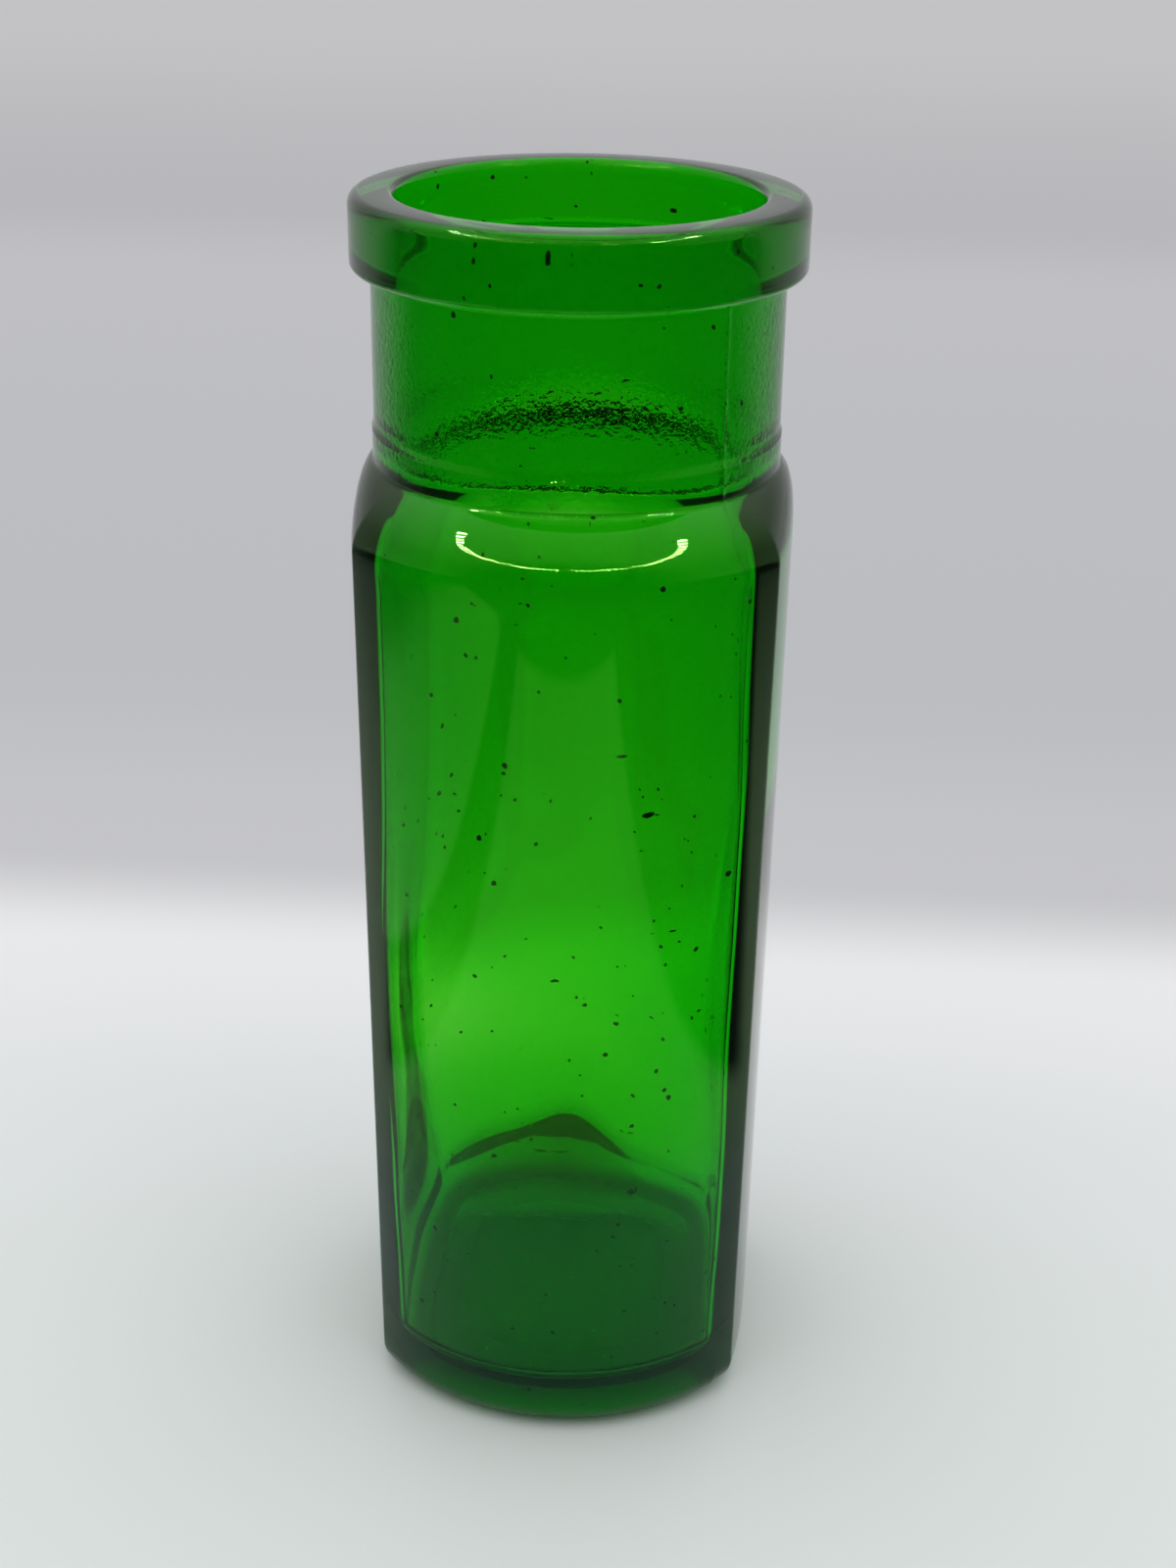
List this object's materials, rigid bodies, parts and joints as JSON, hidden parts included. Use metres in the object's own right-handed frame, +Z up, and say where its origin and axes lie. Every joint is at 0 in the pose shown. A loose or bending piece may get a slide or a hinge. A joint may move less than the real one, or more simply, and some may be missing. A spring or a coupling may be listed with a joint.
{
  "type": "glass jar",
  "caption": "Tall wide-mouthed jar of clear green glass, moulded in one piece: flat ring lip, round neck, sloped shoulder and a squarish body with bowed faces and a thick base.",
  "frame": {"origin": "middle of the standing face, on the surface that the jar stands on", "axes": "+Z up along the neck's axis, front panel facing -Y, the narrower sides facing -X and +X"},
  "size_m": [0.056, 0.0632, 0.1635],
  "materials": {
    "green_glass": "clear, glossy, tinted emerald green"
  },
  "bodies": {
    "root": {"glass_jar": "green_glass"}
  },
  "joints": []
}
